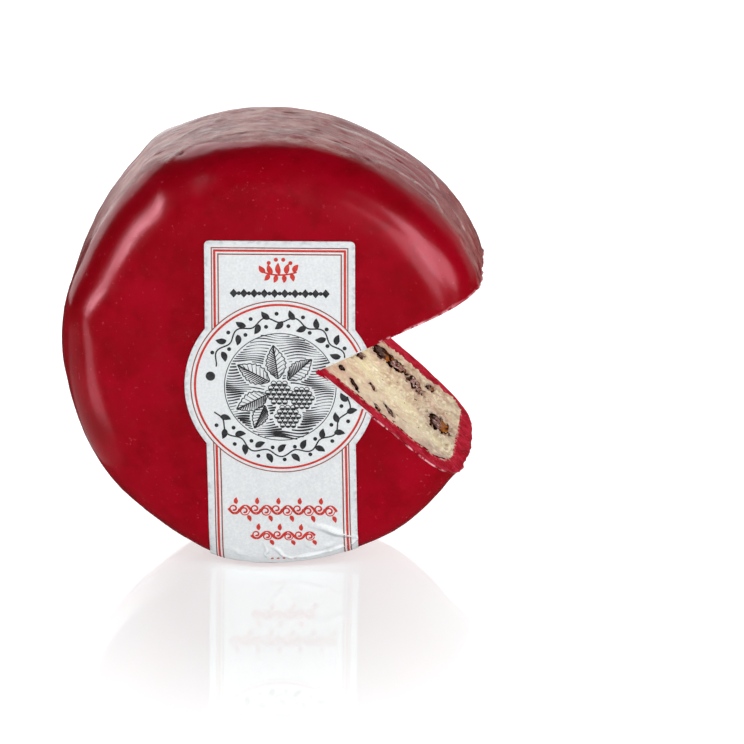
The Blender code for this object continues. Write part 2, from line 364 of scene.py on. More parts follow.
def cheese_wax():
    """Cheese wax, dipped and cooled: a deep clear red with a soft gloss, greyed on the rim by a dull bloom and a
    painted sheen.

    The bloom is a film that comes up where the cheese is rolled and handled, in streaks that run round the rim.
    The sheen painted with it is a painted reflection of the bright backdrop where the rim is seen at a grazing angle.
    """
    finish, tree, shader = new_finish("cheese_wax", 0.2, 0.40, "#FFBCCB")
    spot = add(tree, "TexCoord", output="Object")
    sheet = add(tree, "UVMap", uv_map="sheet")
    streaky = add(tree, "Mapping", {"Vector": sheet, "Scale": (0.60, 1.0, 1.0)})
    colour = patches(tree, spot, "#86000C", ("#980018", 1.0, 16.0, 0.35, 0.65, None))
    # The bloom: a dull pale film in streaks, and in part a painted reflection of the bright backdrop at grazing
    # angles.
    colour = patches(
        tree, streaky, colour,
        ("#DCB2A8", 0.58, 4.2, 0.36, 0.56, "bloom_and_sheen"),
        ("#601C20", 0.65, 6.0, 0.48, 0.60, "bloom_and_sheen"),
        ("#E8CCC2", 0.40, 2.2, 0.52, 0.62, "bloom_and_sheen"),
        unit=1.0,
    )
    colour = patches(
        tree, spot, colour,
        ("#D0AAA0", 0.40, 5.0, 0.48, 0.62, "bloom_and_sheen"),
        # Painted shade inside the pits.
        ("#4A1014", 0.85, 1.0, 0.25, 0.35, "pit_and_painted_shade"),
        # The seams: a scuffed pale line, with a painted highlight along each ridge.
        ("#D8C4C0", 0.90, 1.0, 0.28, 0.44, "seam_scuff_and_glint"),
        # A painted highlight: a pale pink glint along the lip at the cut's edge.
        ("#FFBCC6", 1.0, 1.3, 0.44, 0.52, "lip_and_painted_glint"),
        # Scuffs and darker clouds all over, both faint.
        ("#B8404C", 0.45, 0.9, 0.64, 0.70, None),
        ("#7C000A", 0.55, 7.0, 0.50, 0.62, None),
    )
    tree.links.new(colour, shader.inputs["Base Color"])
    # The bloom and the scuffs take some of the gloss away.
    streak = add(tree, "TexNoise", {"Vector": streaky, "Scale": 1 / 1.7, "Detail": 5.0, "Roughness": 0.62})
    streak = add(tree, "MapRange", {"Value": streak, "From Min": 0.3, "From Max": 0.6, "To Min": 0.4})
    bloom_and_sheen = add(tree, "Attribute", output="Fac", attribute_name="bloom_and_sheen")
    film = add(tree, "Math", {0: bloom_and_sheen, 1: streak}, operation="MULTIPLY")
    scuff = add(tree, "TexNoise", {"Vector": spot, "Scale": 1 / (3.0 * MM), "Detail": 6.0, "Roughness": 0.7})
    scuff = add(tree, "MapRange", {"Value": scuff, "From Min": 0.52, "From Max": 0.75, "To Max": 0.10})
    gloss = add(tree, "Math", {0: film, 1: 0.30, 2: scuff}, operation="MULTIPLY_ADD")
    tree.links.new(add(tree, "Math", {0: gloss, 1: 0.19}, operation="ADD"), shader.inputs["Roughness"])
    # Dust stands on the wax, and the bloom is wiped into fine streaks.
    dust = add(tree, "TexVoronoi", {"Vector": spot, "Scale": 1 / (5.0 * MM)})
    dust = add(tree, "MapRange", {"Value": dust, "From Min": 0.02, "From Max": 0.045, "To Min": 1.0, "To Max": 0.0})
    wiped = add(tree, "TexNoise", {"Vector": streaky, "Scale": 1 / 0.8, "Detail": 5.0, "Roughness": 0.7})
    wiped = add(tree, "Math", {0: wiped, 1: bloom_and_sheen}, operation="MULTIPLY")
    bump = grain(tree, spot, 0.7, 0.012, 3.0, 0.6)
    for relief, height in ((dust, 0.06), (wiped, 0.09)):
        bump = add(tree, "Bump", {"Height": relief, "Distance": height * MM, "Strength": 1.0, "Normal": bump})
    tree.links.new(bump, shader.inputs["Normal"])
    return finish


def cut_wax():
    """The same wax where the knife went through: deep red, dragged and scuffed, with crumbs of cheese pressed in."""
    return patched_finish("cut_wax", (0.34, 0.004, "#FF7886"), "#A00C20", (
        ("#C4283E", 1.0, 2.6, 0.36, 0.60, None),
        ("#86141F", 0.60, 2.4, 0.54, 0.66, None),
        ("#D86C80", 0.50, 0.8, 0.60, 0.68, None),
        ("#E2C6B2", 0.9, 0.9, 0.50, 0.58, "inner"),
    ), (0.7, 0.12))


def hard_cheese():
    """Pressed hard cheese, cut: cream, yellower at the heart, stained by fruit juice, crumbly and tan at the back,
    with painted shade in its hollows.
    """
    return patched_finish("hard_cheese", (0.55, 0.02), "#E4D3B6", (
        ("#F0E4CC", 1.0, 2.2, 0.36, 0.62, None),
        ("#DCB4A2", 0.6, 5.0, 0.48, 0.60, None),
        ("#F2E8C0", 0.9, 3.0, 0.32, 0.56, "heart"),
        ("#B4947A", 0.66, 3.4, 0.36, 0.56, "granule"),
        ("#9C6C44", 0.45, 1.8, 0.53, 0.64, "granule"),
        ("#F0E4C6", 0.9, 1.8, 0.52, 0.60, "granule"),
        ("#FFFBEA", 0.9, 0.8, 0.55, 0.61, "heart"),
        ("#B08484", 0.80, 1.5, 0.34, 0.58, "stain"),
        # Painted shade where the surface lies low.
        ("#8A6248", 0.70, 1.0, 0.20, 0.40, "painted_hollow_shade"),
        ("#47241C", 0.95, 1.0, 0.20, 0.36, "bits"),
    ), (0.5, 0.18))


def dried_fruit():
    """Dried fruit: nearly black sticky skin, and mottled mauve flesh where the knife opened it, amber where light is
    painted glowing through it.
    """
    return patched_finish("dried_fruit", (0.32, 0.001), "#180B08", (
        ("#4A2616", 1.0, 0.9, 0.50, 0.62, None),
        ("#B58F8A", 1.0, 1.0, 0.42, 0.50, "flesh"),
        ("#6A3A30", 0.90, 0.8, 0.50, 0.57, "flesh"),
        ("#E8D8CC", 0.95, 0.6, 0.57, 0.61, "flesh"),
        # Amber flesh, painted as light glowing through on the side towards the lamps.
        ("#A8642A", 1.0, 0.9, 0.32, 0.46, "amber_and_glow"),
    ), (0.45, 0.20))


def label_paper():
    """Coated label paper: cool white with a satin face, a little fibrous, greyer at its rubbed edge, with painted
    shade and painted light on the two sides of each crease.
    """
    return patched_finish("label_paper", (0.42, 0.35), "#CED2D4", (
        ("#DDDFE0", 1.0, 0.5, 0.35, 0.65, None),
        ("#94999F", 0.55, 1.0, 0.46, 0.60, "rubbed"),
        ("#C2C5CA", 0.25, 3.5, 0.52, 0.65, None),
        # Painted shade on the side of a crease that falls away downwards, and painted light on the other.
        ("#8E9298", 0.55, 2.0, 0.20, 0.45, "painted_crease_shade"),
        ("#F4F6F7", 0.60, 2.0, 0.20, 0.45, "ridge_and_painted_light"),
    ), (0.4, 0.012, 3.0, 0.6))


def ink(name, light, dark):
    """Printing ink on paper: matt, and a little uneven where it soaks in."""
    return patched_finish(name, (0.48, 0.3), light, ((dark, 1.0, 0.7, 0.35, 0.65, None),))


# The wax


def spread_angles(start, end, fine, coarse, growth):
    """Angles from start to end, closest together at both ends."""
    half = [0.0]
    while half[-1] < (end - start) / 2:
        half.append(half[-1] + min(coarse, fine + growth * half[-1]))
    half = np.array(half) / half[-1] * (end - start) / 2
    return np.concatenate([start + half, (end - half[::-1])[1:]])


def shoulder_shape(turn):
    """Size and crispness of the front shoulder at a turn in degrees.

    It is crisper over the top and at the lower side of the cut, wide at the upper left and the lower left, and
    pinched between them.
    """
    turn = np.mod(turn, 360.0)
    size = FRONT_SHOULDER + 1.2 * bell(turn, 200.0, 17.0) + 1.5 * bell(turn, 124.0, 14.0)
    size = size - 3.2 * bell(turn, 163.0, 7.0)
    crisp = np.exp(-(((turn - 93.0) / 14.0) ** 4))
    return size, FULLNESS + 0.55 * crisp + 0.10 * bell(turn, 331.0, 10.0)


def section_rows():
    """Rows of the wax's section: its part (front, shoulder, rim, shoulder or back) and the share along that."""
    counts = (48, 40, 56, 24, 40)
    rows = [np.stack([np.full(count, part), np.arange(count) / count]) for part, count in enumerate(counts)]
    return np.concatenate([*rows, [[4.0], [1.0]]], 1)


def coat(angle, part, share):
    """Points of the wax's outside before its unevenness, with normals, turn round the drum in degrees and depth.

    A ray leaves the cut's inner edge at an angle. On a face the point is a share of the way along it to the
    shoulder, raised by a shallow dome; on a shoulder or the rim it is where the ray meets the outline less an inset.
    """
    x, z = apex(THICKNESS / 2)
    far = reach(angle, THICKNESS / 2, 6.0)
    size, full = shoulder_shape(np.degrees(np.arctan2(z + far * np.sin(angle), x + far * np.cos(angle))))
    front_inset, front_deep, front_out, front_back = shoulder(share * math.pi / 2, size, full)
    back_inset, back_deep, back_out, back_back = shoulder((1.0 - share) * math.pi / 2, BACK_SHOULDER)
    rim_deep = size + share * (THICKNESS - BACK_SHOULDER - size)
    nothing = 0.0 * (angle + share)

    def by_part(*choices):
        """The first choice on the front, and so on to the fifth on the back."""
        return np.select([part == number for number in range(5)], [choice + nothing for choice in choices])

    inset = by_part(size, front_inset, 0.0, back_inset, BACK_SHOULDER)
    depth = by_part(0.0, front_deep, rim_deep, THICKNESS - back_deep, THICKNESS)
    out = by_part(0.0, front_out, 1.0, back_out, 0.0)
    back = by_part(-1.0, -front_back, 0.0, back_back, 1.0)
    distance = by_part(share, 1.0, 1.0, 1.0, 1.0 - share) * reach(angle, depth, inset)
    x, z = apex(depth)
    x, z = x + distance * np.cos(angle), z + distance * np.sin(angle)
    theta = np.arctan2(z, x)
    raised = dome(x, z, inset) * by_part(1.0, 0.0, 0.0, 0.0, 1.0)
    points = np.stack([x, depth - THICKNESS / 2 + raised * back, z], -1)
    normals = np.stack([out * np.cos(theta), back, out * np.sin(theta)], -1)
    return points, normals, np.mod(np.degrees(theta), 360.0), depth, distance


# Raised seams where the wax was dipped twice: turn in degrees and depth along each, then height and width.
SEAMS = (
    (
        ((118.0, 8.0), (113.8, 10.6), (111.2, 11.5), (106.2, 11.9), (102.5, 14.0), (99.5, 14.2), (93.0, 14.4)),
        0.30, 0.45,
    ),
    (((126.0, 13.0), (118.7, 17.8), (116.5, 21.2), (112.5, 25.4), (106.0, 28.0)), 0.22, 0.55),
    (((72.0, 12.5), (66.0, 12.0), (57.2, 14.6), (50.5, 17.0), (45.0, 15.7), (42.2, 11.6)), 0.22, 0.5),
    (((46.5, 30.0), (44.8, 28.0), (42.8, 22.6), (40.0, 23.4), (33.0, 19.0)), 0.26, 0.6),
    (((84.0, 30.0), (76.0, 27.0), (66.0, 27.5), (55.0, 29.0)), 0.16, 0.8),
)
# Small torn pits in the rim: turn, depth, half length, half width.
PITS = (
    (75.0, 14.9, 1.0, 0.28), (72.0, 17.2, 1.1, 0.25), (65.8, 11.5, 1.2, 0.34), (63.9, 12.6, 0.9, 0.3),
    (98.6, 13.6, 0.9, 0.2), (114.2, 9.0, 0.5, 0.4), (88.0, 31.0, 1.0, 0.3), (52.5, 16.2, 0.8, 0.25),
    (41.5, 14.5, 0.9, 0.3), (120.0, 15.0, 0.8, 0.25), (57.0, 24.0, 0.7, 0.25), (80.0, 20.0, 0.5, 0.2),
)


def segment_distance(across, down, start, end):
    """Distance in a plane from each place to a straight piece between two points."""
    run = np.array(end) - start
    share = ((across - start[0]) * run[0] + (down - start[1]) * run[1]) / (run @ run)
    share = np.clip(share, 0.0, 1.0)
    return np.hypot(across - start[0] - share * run[0], down - start[1] - share * run[1]), share


def coat_relief(points, normals, turn, depth):
    """Height of the wax's unevenness, where its seams are scuffed pale with a painted highlight, and where its pits
    take painted shade.

    Slow lumps lie all over. Near the rim the front has a valley at the left, where two flattened facets meet, and
    is fuller at the lower left, and the rim swells at the lower side of the cut, where the knife dragged the wax.
    The rim has streaks, dents, seams and pits.
    """
    around = np.radians(turn) * MEAN_RADIUS
    near_rim = ease(np.hypot(points[..., 0], points[..., 2]), 33.0, 41.0)
    high = lumps(points)
    high = high - 0.12 * near_rim * bell(turn, 167.5, 4.0) * (1 - ease(depth, 6.0, 12.0))
    high = high + 0.50 * near_rim * bell(turn, 212.0, 26.0)
    high = high + (bell(depth, 24.0, 8.5) - 0.25 * bell(depth, 9.5, 4.5)) * bell(turn, 330.0, 9.0)
    rim = ease(np.hypot(normals[..., 0], normals[..., 2]), 0.86, 1.0)
    drift = 1.6 * lattice(points, 14.0, 8)
    streak = np.stack([around / 16.0, (depth + drift) / 1.5, 0 * around], -1)
    high = high + rim * 0.05 * rough(streak, 1.0, 3, 11) + rim * 0.09 * rough(points, 3.2, 2, 9)
    # Seams and pits wander a little, and the seams are broken here and there.
    level = depth + 0.5 * lattice(points, 3.0, 14)
    broken = ease(lattice(points, 4.0, 27), -0.45, 0.0) * rim
    # The seam mark is a scuffed pale line with a painted highlight, and the pit mark is painted shade.
    seam_scuff_and_glint, pit_and_painted_shade = 0.0 * high, 0.0 * high
    for path, height, width in SEAMS:
        path = np.array(path) * (math.radians(1.0) * MEAN_RADIUS, 1.0)
        near = np.min([segment_distance(around, level, *ends)[0] for ends in zip(path[:-1], path[1:])], axis=0)
        ridge_and_painted_light = broken * bell(near, 0.0, width)
        high = high + 1.3 * height * ridge_and_painted_light
        seam_scuff_and_glint = np.maximum(seam_scuff_and_glint, ridge_and_painted_light)
    for place_at, deep, length, width in PITS:
        off = np.hypot((around - math.radians(place_at) * MEAN_RADIUS) / length, (level - deep) / width)
        pit_and_painted_shade = np.maximum(pit_and_painted_shade, bell(off, 0.0, 1.0))
    return high - 0.45 * pit_and_painted_shade, seam_scuff_and_glint, pit_and_painted_shade


# Where the rim's bloom and its painted sheen, a reflection of the backdrop, begin: turn in degrees, depth, over what
# depth it comes in, and how strong it is.
BLOOM_AND_SHEEN = np.array((
    (0.0, 7.5, 2.5, 0.06), (28.0, 8.0, 1.8, 0.44), (37.0, 8.8, 1.8, 0.46), (43.0, 9.0, 2.2, 0.16),
    (52.0, 8.2, 2.2, 0.10), (64.0, 8.2, 2.4, 0.24), (80.0, 7.4, 2.6, 0.90), (92.0, 7.4, 2.6, 1.00),
    (99.0, 7.2, 1.4, 1.00), (104.0, 9.0, 1.0, 1.00), (111.0, 11.6, 1.0, 1.00), (115.0, 9.6, 1.6, 0.95),
    (120.0, 8.0, 2.0, 0.90), (127.0, 8.0, 2.4, 0.85), (134.0, 8.8, 2.6, 0.75),
    (150.0, 11.0, 3.0, 0.35), (165.0, 12.0, 3.0, 0.15), (270.0, 12.0, 3.5, 0.10), (360.0, 7.5, 2.5, 0.03),
))


def bloom_and_sheen_share(turn, depth):
    """How strong the rim's bloom and its painted sheen are: they fade before the back, and sooner where the bloom is
    worn off.
    """
    start, soft, strong = (np.interp(turn, BLOOM_AND_SHEEN[:, 0], BLOOM_AND_SHEEN[:, column]) for column in (1, 2, 3))
    worn = 6.0 * ease(turn, 98.0, 122.0) + 5.0 * ease(turn, 42.0, 52.0) * (1.0 - ease(turn, 66.0, 84.0))
    return ease(depth - start, -0.3 * soft, 0.7 * soft) * ease(THICKNESS - depth, 2.0 + worn, 7.0 + worn) * strong


# The label covers the cut's edge out to here, and past the second distance the wax is all bare.
LABEL_COVERS = (12.6, 14.5)


def torn_edge(points, angle, depth, distance):
    """Height of the ragged wax along the cut past the label, and where a painted glint runs along its lip.

    A thin lip stands up just off the edge, highest at the lower side of the front. Small chips are gone round it,
    and the edge of the back is pulled out where the knife left.
    """
    below = angle > math.pi
    off = distance * np.sin(np.minimum(np.minimum(angle - UPPER, LOWER + TAU - angle), math.pi / 2))
    ragged = np.clip(0.50 + 0.75 * rough(points, 2.2, 3, 33), 0.05, 1.3)
    bare = ease(distance, *LABEL_COVERS)
    lip_and_painted_glint = np.where(below & (depth < 12.0), 0.42, 0.14) * bare * (0.4 + 0.6 * ragged) * bell(off, 0.20, 0.17)
    chip = np.where(depth > 6.0, np.where(below, 0.16, 0.30), 0.08) * bell(off, 0.0, 0.8)
    pulled = 1.4 * below * bell(off, 0.0, 7.0) * ease(depth, 40.0, 43.4)
    pulled = pulled * ease(distance, 4.0, 10.0) * (1.0 - ease(distance, 20.0, 30.0))
    # A painted highlight: a pale pink glint along the crest of the lip.
    painted_glint = bell(off, 0.20, 0.18) * bare * np.clip(1.5 * ragged, 0, 1)
    return lip_and_painted_glint + chip * bare * rough(points, 1.3, 3, 35) + pulled, painted_glint


def wax_shell(finish):
    """The wax's whole outside, swept round from one side of the cut to the other, with its edges along the cut."""
    angle = spread_angles(UPPER, LOWER + TAU, math.radians(0.05), math.radians(0.62), 0.18)[:, None]
    points, normals, turn, depth, distance = coat(angle, *section_rows())
    high, seam_scuff_and_glint, pit_and_painted_shade = coat_relief(points, normals, turn, depth)
    torn, lip_and_painted_glint = torn_edge(points, angle, depth, distance)
    points = points + normals * (high + torn)[..., None]
    points[..., 2] = np.maximum(points[..., 2], FLOOR)
    sheet = np.stack([np.radians(turn) * MEAN_RADIUS, depth], -1)
    marks = {"bloom_and_sheen": bloom_and_sheen_share(turn, depth), "seam_scuff_and_glint": seam_scuff_and_glint, "pit_and_painted_shade": pit_and_painted_shade, "lip_and_painted_glint": lip_and_painted_glint}
    shell = grid_piece("wax_shell", finish, points, lambda spots: spots, uv=sheet, marks=marks)
    return shell, points[0], points[-1]


# Steps round the edge of the cheese in one side of the cut.
EDGE_STEPS = 1200


def cavity_depth(radius, back):
    """Depth of the cheese's front or back at a distance from the drum's axis."""
    rim = MEAN_RADIUS - WAX_RIM
    if back:
        return THICKNESS - WAX_BACK + np.interp(radius, [0.0, 0.62 * rim, rim - BACK_CORNER], [-0.5, -1.1, 0.0])
    levels = [WAX_MIDDLE + 0.6, WAX_FRONT - 0.7, WAX_FRONT + 0.3]
    return np.interp(radius, [0.0, 0.45 * rim, rim - FRONT_CORNER], levels)


def cavity_edge(angle):
    """Edge of the cheese in one side of the cut: distance and depth, from the front apex round to the back."""
    turn = np.linspace(0.0, math.pi / 2, 24)
    front_inset, front_deep, _, _ = shoulder(turn, FRONT_CORNER)
    back_inset, back_deep, _, _ = shoulder(turn[::-1], BACK_CORNER)
    start, stop = WAX_FRONT + 0.3, THICKNESS - WAX_BACK
    front = np.linspace(0.0, 1.0, 60)[:-1] * reach(angle, start, WAX_RIM + FRONT_CORNER)
    back = np.linspace(1.0, 0.0, 60)[1:] * reach(angle, stop, WAX_RIM + BACK_CORNER)
    front_deep, back_deep = start + front_deep, stop - back_deep
    from_axis = []
    for distance, depth in ((front, 2.0), (back, THICKNESS - 2.0)):
        x, z = apex(depth)
        from_axis.append(np.hypot(x + distance * math.cos(angle), z + distance * math.sin(angle)))
    depth = [cavity_depth(from_axis[0], False), front_deep, back_deep, cavity_depth(from_axis[1], True)]
    front_far = reach(angle, front_deep, WAX_RIM + front_inset)
    back_far = reach(angle, back_deep, WAX_RIM + back_inset)
    distance = [front, front_far, back_far, back]
    return resample(np.stack([np.concatenate(distance), np.concatenate(depth)], -1), EDGE_STEPS)


def cut_point(angle, distance, depth):
    """A point in one side of the cut from its distance out from the apex and its depth."""
    x, z = apex(depth)
    return np.stack([x + distance * math.cos(angle), depth - THICKNESS / 2, z + distance * math.sin(angle)], -1)


def cut_axes(angle):
    """Three directions of one side of the cut: out along it, back along it, and out of it into the gap."""
    edge = np.array([SLANT * math.cos(UPPER), 1.0, SLANT * math.sin(UPPER)])
    run = np.array([math.cos(angle), 0.0, math.sin(angle)])
    deep = edge - run * (edge @ run)
    normal = np.cross(edge, run)
    normal /= np.linalg.norm(normal)
    return run, deep / np.linalg.norm(deep), -normal if angle < 0.0 else normal


def wax_cut(name, angle, outer, finish):
    """The wax where it is cut: a band between the shell's own edge and the cheese, dragged by the knife."""
    steps_along, steps_across = 620, 22
    depth = outer[:, 1] + THICKNESS / 2
    x, z = apex(depth)
    distance = (outer[:, 0] - x) * math.cos(angle) + (outer[:, 2] - z) * math.sin(angle)
    length = run_length(np.stack([distance, depth], -1))
    along = np.unique(np.concatenate([length, np.linspace(0.0, length[-1], steps_along)]))
    outer_line = np.stack([np.interp(along, length, distance), np.interp(along, length, depth)], -1)
    edge = cavity_edge(angle)
    steps = np.linspace(0.0, 1.0, EDGE_STEPS)
    inner_line = np.stack([np.interp(along / length[-1], steps, edge[:, column]) for column in (0, 1)], -1)
    share = np.linspace(0.0, 1.0, steps_across)[None, :]
    line = outer_line[:, None] * (1.0 - share[..., None]) + inner_line[:, None] * share[..., None]
    flat = cut_point(angle, line[..., 0], line[..., 1])
    normal = cut_axes(angle)[2]
    # Lumps and finer lines along the knife's way, in a band that is slightly hollow and meets the shell exactly.
    drag = np.stack([flat @ np.array([0.25, 0.2, 0.25]), flat @ np.array([-1.6, 0.1, 1.6]), flat[..., 1]], -1)
    high = 0.08 * rough(flat, 1.8, 4, 21) + 0.02 * lattice(drag, 0.9, 23) - 0.10 * np.sin(math.pi * share)
    high = high * ease(line[..., 0], 0.0, 2.0) * ease(share, 0.0, 0.08)
    points = flat + normal * high[..., None]
    return grid_piece(name, finish, points, normal, uv=line, marks={"inner": ease(share, 0.78, 1.0)})


def wax_burr(finish):
    """Wax pushed over the label at the tip of the cut: a lumpy ridge along its lower edge that tapers away."""
    share = np.linspace(0.0, 1.0, 60)[:, None]
    around = np.linspace(0.0, TAU, 25)[None, :-1, None]
    middle = cut_point(LOWER, -0.2 + 3.4 * share[:, 0], 0 * share[:, 0] - DOME - 0.15)[:, None]
    radius = 0.42 * np.sin(math.pi * np.clip(0.04 + share, 0, 1) ** 0.45) ** 0.7 * (1.0 - 0.6 * share)
    side = np.array([math.sin(LOWER), 0.0, -math.cos(LOWER)])
    out = radius[..., None] * (np.cos(around) * side * 1.25 - np.sin(around) * np.array([0.0, 1.0, 0.0]))
    points = middle + out + 0.12 * side
    points = points + 0.5 * out * rough(points, 0.8, 3, 37)[..., None]
    return grid_piece("wax_burr", finish, points, lambda spots: spots - np.repeat(middle[:-1, 0], 24, 0),
                      marks={"inner": 0.0}, ring=True)


# The cheese


def paste_face(angle, across, down):
    """Distance and depth over one cut side of the cheese: a patch blended between its four edges."""
    edge = cavity_edge(angle)
    to_far = edge[:, 0] - edge[:, 0].max()
    half_front = np.argmin(np.hypot(to_far, edge[:, 1] - WAX_FRONT))
    half_back = np.argmin(np.hypot(to_far, edge[:, 1] - THICKNESS + WAX_BACK))
    front = resample(edge[: half_front + 1], across)
    rim = resample(edge[half_front : half_back + 1], down)
    back = resample(edge[half_back:][::-1], across)
    inner = resample(np.stack([front[0], back[0]]), down)
    u = np.linspace(0.0, 1.0, across)[:, None, None]
    w = np.linspace(0.0, 1.0, down)[None, :, None]
    # The four edges are blended in pairs, less what their corners give twice.
    ruled = (1 - w) * front[:, None] + w * back[:, None] + (1 - u) * inner[None] + u * rim[None]
    corners = (1 - u) * (1 - w) * front[0] + u * (1 - w) * front[-1] + (1 - u) * w * back[0] + u * w * back[-1]
    return ruled - corners


def fruit_edge(around, seed):
    """How far a fruit's outline stands out from an ellipse, round it: two noises that close on themselves."""
    ring = np.stack([np.cos(around), np.sin(around), 0 * around], -1)
    return 1.0 + 0.30 * lattice(ring, 0.9, 200 + seed) + 0.16 * lattice(ring, 0.36, 230 + seed)


def fruit_near(spot, row, seed):
    """How far each place is from a fruit's middle, 1 at its edge."""
    along, depth, length, width, _, turn = row[:6]
    spin = math.radians(turn)
    out, back = spot[..., 0] - along, spot[..., 1] - depth
    first = (out * math.cos(spin) + back * math.sin(spin)) / length
    second = (back * math.cos(spin) - out * math.sin(spin)) / width
    near = np.hypot(first, second)
    uneven = fruit_edge(np.arctan2(second, first), seed) - 1.0
    return near / (1.0 + uneven * np.exp(-4.0 * np.maximum(0.0, near - 1.0)))


# Cracks in the lower side of the cheese: distance and depth of each end, and how deep it is.
CRACKS = (
    ((18.5, 10.0), (21.0, 9.6), 0.28), ((21.0, 9.6), (23.0, 10.2), 0.22), ((26.4, 17.3), (28.2, 16.6), 0.45),
    ((13.6, 15.2), (15.6, 16.0), 0.15), ((19.2, 33.4), (21.0, 35.4), 0.2), ((4.8, 17.0), (6.0, 20.8), 0.2),
)


def cheese_side(name, angle, fruits, first_fruit, finish, across, down):
    """One cut side of the cheese: crumbs and knife drag, sunk round each fruit, with small cracks and loose bits.

    Its height is a sum of noises and humps, and the same humps mark where each colour of the finish goes.
    """
    spot = paste_face(angle, across, down)
    along, deep_in = spot[..., 0], spot[..., 1]
    flat = cut_point(angle, along, deep_in)
    normal = cut_axes(angle)[2]
    high = 0.13 * rough(flat, 2.4, 4, 41, 0.62) + 0.12 * (0.4 - np.abs(lattice(flat, 1.3, 47)))
    # It gets crumblier and tanner outwards and towards the back.
    granule = ease(0.5 * along / 34.0 + 0.6 * deep_in / 40.0 + 0.16 * rough(flat, 5.0, 2, 51), 0.52, 0.78)
    crumbs = np.maximum(0.0, lattice(flat, 0.85, 53)) + 0.7 * np.maximum(0.0, lattice(flat, 0.5, 55))
    high += (0.55 + granule) * 0.32 * crumbs
    # Juice stains it along the front, at the front's far corner and round each fruit.
    stain = 0.75 * np.exp(-((deep_in - 3.0) / 5.5)) * ease(lattice(flat, 4.0, 57), -0.6, 0.6)
    stain = np.maximum(stain, 0.9 * ease(along - 0.3 * deep_in, 22.0, 27.0) * ease(-deep_in, -13.0, -8.0))
    bits = np.zeros(flat.shape[:2])
    for number, row in enumerate(fruits, first_fruit):
        near = fruit_near(spot + 0.30 * rough(flat, 1.2, 2, 59)[..., None], row, number)
        # A torn groove runs round the fruit, and under it the cheese is sunk out of sight.
        high -= 0.32 * bell(near, 1.06, 0.14) * (1.0 + 0.9 * lattice(flat, 1.0, 61))
        high = np.where(fruit_near(spot, row, number) < 0.84, np.minimum(high, -0.75), high)
        stain = np.maximum(stain, (0.35 + 0.5 * row[6]) * np.exp(-np.maximum(0.0, near - 1.0) * 1.8))
        bits = np.maximum(bits, 1.0 - ease(near, 1.0, 1.5))
    bits = bits * ease(lattice(flat, 0.8, 65) + 0.5 * lattice(flat, 0.4, 66), 0.10, 0.40)
    if angle == LOWER:
        bent = along + 0.5 * lattice(flat, 1.8, 63)
        for start, end, deep in CRACKS:
            near, share = segment_distance(bent, deep_in, np.array(start), np.array(end))
            line = deep * bell(near, 0.0, 0.22) * np.sin(math.pi * np.clip(share, 0.05, 0.95))
            high -= line
            bits = np.maximum(bits, 3.0 * line)
    # It meets the wax at the apex exactly, and is yellower along its middle.
    high *= ease(along, 0.0, 1.5)
    heart = bell(deep_in + 0.40 * along, 25.0, 6.0) * ease(along, 3.0, 10.0)
    # The hollow mark is painted shade where the surface lies below its mean.
    marks = {
        "stain": np.clip(stain, 0, 1), "granule": granule, "painted_hollow_shade": ease(-high, 0.06, 0.45),
        "bits": np.clip(bits, 0, 1), "heart": heart,
    }
    return grid_piece(name, finish, flat + normal * high[..., None], normal, uv=spot, marks=marks)


def fruit_piece(name, angle, row, seed, finish):
    """One dried fruit: an ellipsoid with a lumpy outline and wrinkles, sliced nearly flush with the cheese.

    The slice is torn into small peaks. Its flesh shows inside the skin's edge, and on its outer side, towards the
    lamps at the right, an amber glow is painted as light.
    """
    along, depth, length, width, height, turn, dark, amber_and_glow = row
    run, deep, normal = cut_axes(angle)
    spin = math.radians(turn)
    first = run * math.cos(spin) + deep * math.sin(spin)
    second = deep * math.cos(spin) - run * math.sin(spin)
    sunk = 0.35 * height
    centre = cut_point(angle, np.array(along), np.array(depth)) - normal * sunk
    ball, around = unit_ball(84, 132)
    edge = fruit_edge(around, seed)
    ball[..., :2] *= edge[..., None]
    rocky = ball * [length, width, height]
    size = max(0.7, 0.5 * width)
    lump = 1.0 + 0.10 * lattice(rocky + 50.0 * seed, size, 130 + seed)
    fold = np.abs(lattice(rocky + 50.0 * seed, 1.2 * size, 60 + seed))
    local = rocky * (lump - 0.12 * (1.0 - ease(fold, 0.0, 0.30)))[..., None]
    # What stands over the slice is pressed down to it and torn.
    over = np.maximum(0.0, local[..., 2] - sunk - 0.08)
    torn = 0.24 * rough(local + 90.0 * seed, 1.0, 3, 150 + seed) + 0.02
    local[..., 2] += ease(over, 0.0, 0.15) * (torn - over)
    points = centre + local[..., :1] * first + local[..., 1:2] * second + local[..., 2:] * normal
    near = np.hypot(local[..., 0] / length, local[..., 1] / width) / edge
    sliced = ease(over, 0.0, 0.1)
    blot = rough(local + 70.0 * seed, 0.8 * size, 2, 80 + seed)
    outer = local[..., 0] * math.cos(spin) - local[..., 1] * math.sin(spin)
    outer = outer / math.hypot(length * math.cos(spin), width * math.sin(spin))
    flesh = sliced * (1.0 - ease(near - 0.28 * blot, 0.50, 0.74)) * (1.30 - dark)
    glow = amber_and_glow * sliced * ease(outer, 0.0, 0.45) * ease(blot, -0.5, 0.1)
    marks = {"flesh": np.clip(flesh, 0, 1), "amber_and_glow": np.clip(glow, 0, 1)}
    return grid_piece(name, finish, points, lambda spots: spots - centre, marks=marks, ring=True)


